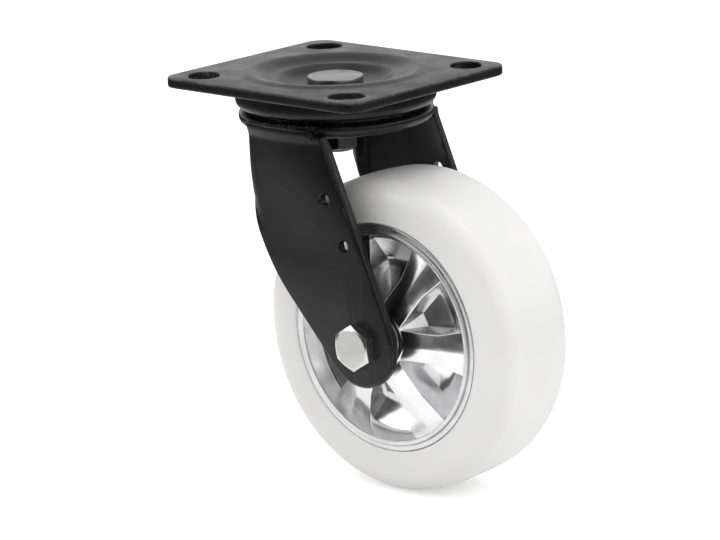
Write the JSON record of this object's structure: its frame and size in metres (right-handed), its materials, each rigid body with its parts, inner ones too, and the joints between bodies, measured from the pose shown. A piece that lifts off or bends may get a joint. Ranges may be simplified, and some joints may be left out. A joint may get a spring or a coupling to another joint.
{
  "type": "swivel castor",
  "caption": "Heavy-duty swivel castor: slotted top plate, ball-race swivel head, welded fork and a nylon-tyred aluminium wheel on a bolted axle.",
  "frame": {"origin": "on the swivel axis, in the plane of the top plate's flat upper face; the castor hangs below it", "axes": "+Z along the swivel axis, up through the top plate; +X the way the wheel trails at rest; the axle lies along Y with its bolt head at -Y"},
  "size_m": [0.193, 0.1228, 0.2061],
  "materials": {
    "plate_coat": "semi-gloss black coat",
    "race_ring_coat": "semi-gloss black coat",
    "kingpin_steel": "dull zinc",
    "spacer_steel": "plain",
    "lower_race_steel": "hardened",
    "nut_coat": "semi-gloss black coat",
    "upper_ball_steel": "ground",
    "lower_ball_steel": "ground",
    "crown_coat": "semi-gloss black coat",
    "head_leg_coat": "semi-gloss black coat",
    "nut_leg_coat": "semi-gloss black coat",
    "axle_steel": "bright zinc",
    "washer_steel": "bright zinc",
    "axle_nut_steel": "bright zinc",
    "tube_steel": "plain",
    "bearing_spacer_steel": "plain",
    "collar_steel_head_side": "zinc",
    "collar_steel_nut_side": "zinc",
    "inner_ring_steel_head_side": "ground",
    "inner_ring_steel_nut_side": "ground",
    "outer_ring_steel_head_side": "ground",
    "outer_ring_steel_nut_side": "ground",
    "bearing_ball_steel_head_side": "ground",
    "bearing_ball_steel_nut_side": "ground",
    "seal_rubber_head_side": "matt",
    "seal_rubber_nut_side": "matt",
    "core_aluminium": "polished casting",
    "tread_nylon": "satin cast nylon"
  },
  "bodies": {
    "top": {"top_plate": "plate_coat", "upper_race_ring": "race_ring_coat", "kingpin": "kingpin_steel", "kingpin_spacer": "spacer_steel", "lower_race": "lower_race_steel", "kingpin_nut": "nut_coat"},
    "fork": {"fork_crown": "crown_coat", "fork_leg_head_side": "head_leg_coat", "fork_leg_nut_side": "nut_leg_coat", "axle_bolt": "axle_steel", "axle_washer": "washer_steel", "axle_nut": "axle_nut_steel", "axle_tube": "tube_steel", "bearing_spacer": "bearing_spacer_steel", "axle_collar_head_side": "collar_steel_head_side", "axle_collar_nut_side": "collar_steel_nut_side", "bearing_inner_ring_head_side": "inner_ring_steel_head_side", "bearing_inner_ring_nut_side": "inner_ring_steel_nut_side"},
    "wheel": {"wheel_core": "core_aluminium", "tread": "tread_nylon", "bearing_outer_ring_head_side": "outer_ring_steel_head_side", "bearing_outer_ring_nut_side": "outer_ring_steel_nut_side", "bearing_seal_head_side": "seal_rubber_head_side", "bearing_seal_nut_side": "seal_rubber_nut_side"},
    "upper_balls": {"upper_ball_row": "upper_ball_steel"},
    "lower_balls": {"lower_ball_row": "lower_ball_steel"},
    "head_side_balls": {"bearing_balls_head_side": "bearing_ball_steel_head_side"},
    "nut_side_balls": {"bearing_balls_nut_side": "bearing_ball_steel_nut_side"}
  },
  "joints": [
    {"name": "swivel", "type": "hinge", "parent": "top", "child": "fork", "pos_m": [0, 0, 0], "axis": [0, 0, 1], "continuous": true},
    {"name": "wheel_spin", "type": "hinge", "parent": "fork", "child": "wheel", "pos_m": [0.049, 0, -0.125], "axis": [0, 1, 0], "continuous": true},
    {"name": "upper_balls_roll", "type": "hinge", "parent": "top", "child": "upper_balls", "pos_m": [0, 0, 0], "axis": [0, 0, 1], "continuous": true},
    {"name": "lower_balls_roll", "type": "hinge", "parent": "top", "child": "lower_balls", "pos_m": [0, 0, 0], "axis": [0, 0, 1], "continuous": true},
    {"name": "head_side_balls_roll", "type": "hinge", "parent": "fork", "child": "head_side_balls", "pos_m": [0.049, 0, -0.125], "axis": [0, 1, 0], "continuous": true},
    {"name": "nut_side_balls_roll", "type": "hinge", "parent": "fork", "child": "nut_side_balls", "pos_m": [0.049, 0, -0.125], "axis": [0, 1, 0], "continuous": true}
  ],
  "couplings": [
    {"joint": "upper_balls_roll", "follows": "swivel", "ratio": 0.5},
    {"joint": "lower_balls_roll", "follows": "swivel", "ratio": 0.5},
    {"joint": "head_side_balls_roll", "follows": "wheel_spin", "ratio": 0.592},
    {"joint": "nut_side_balls_roll", "follows": "wheel_spin", "ratio": 0.592}
  ]
}
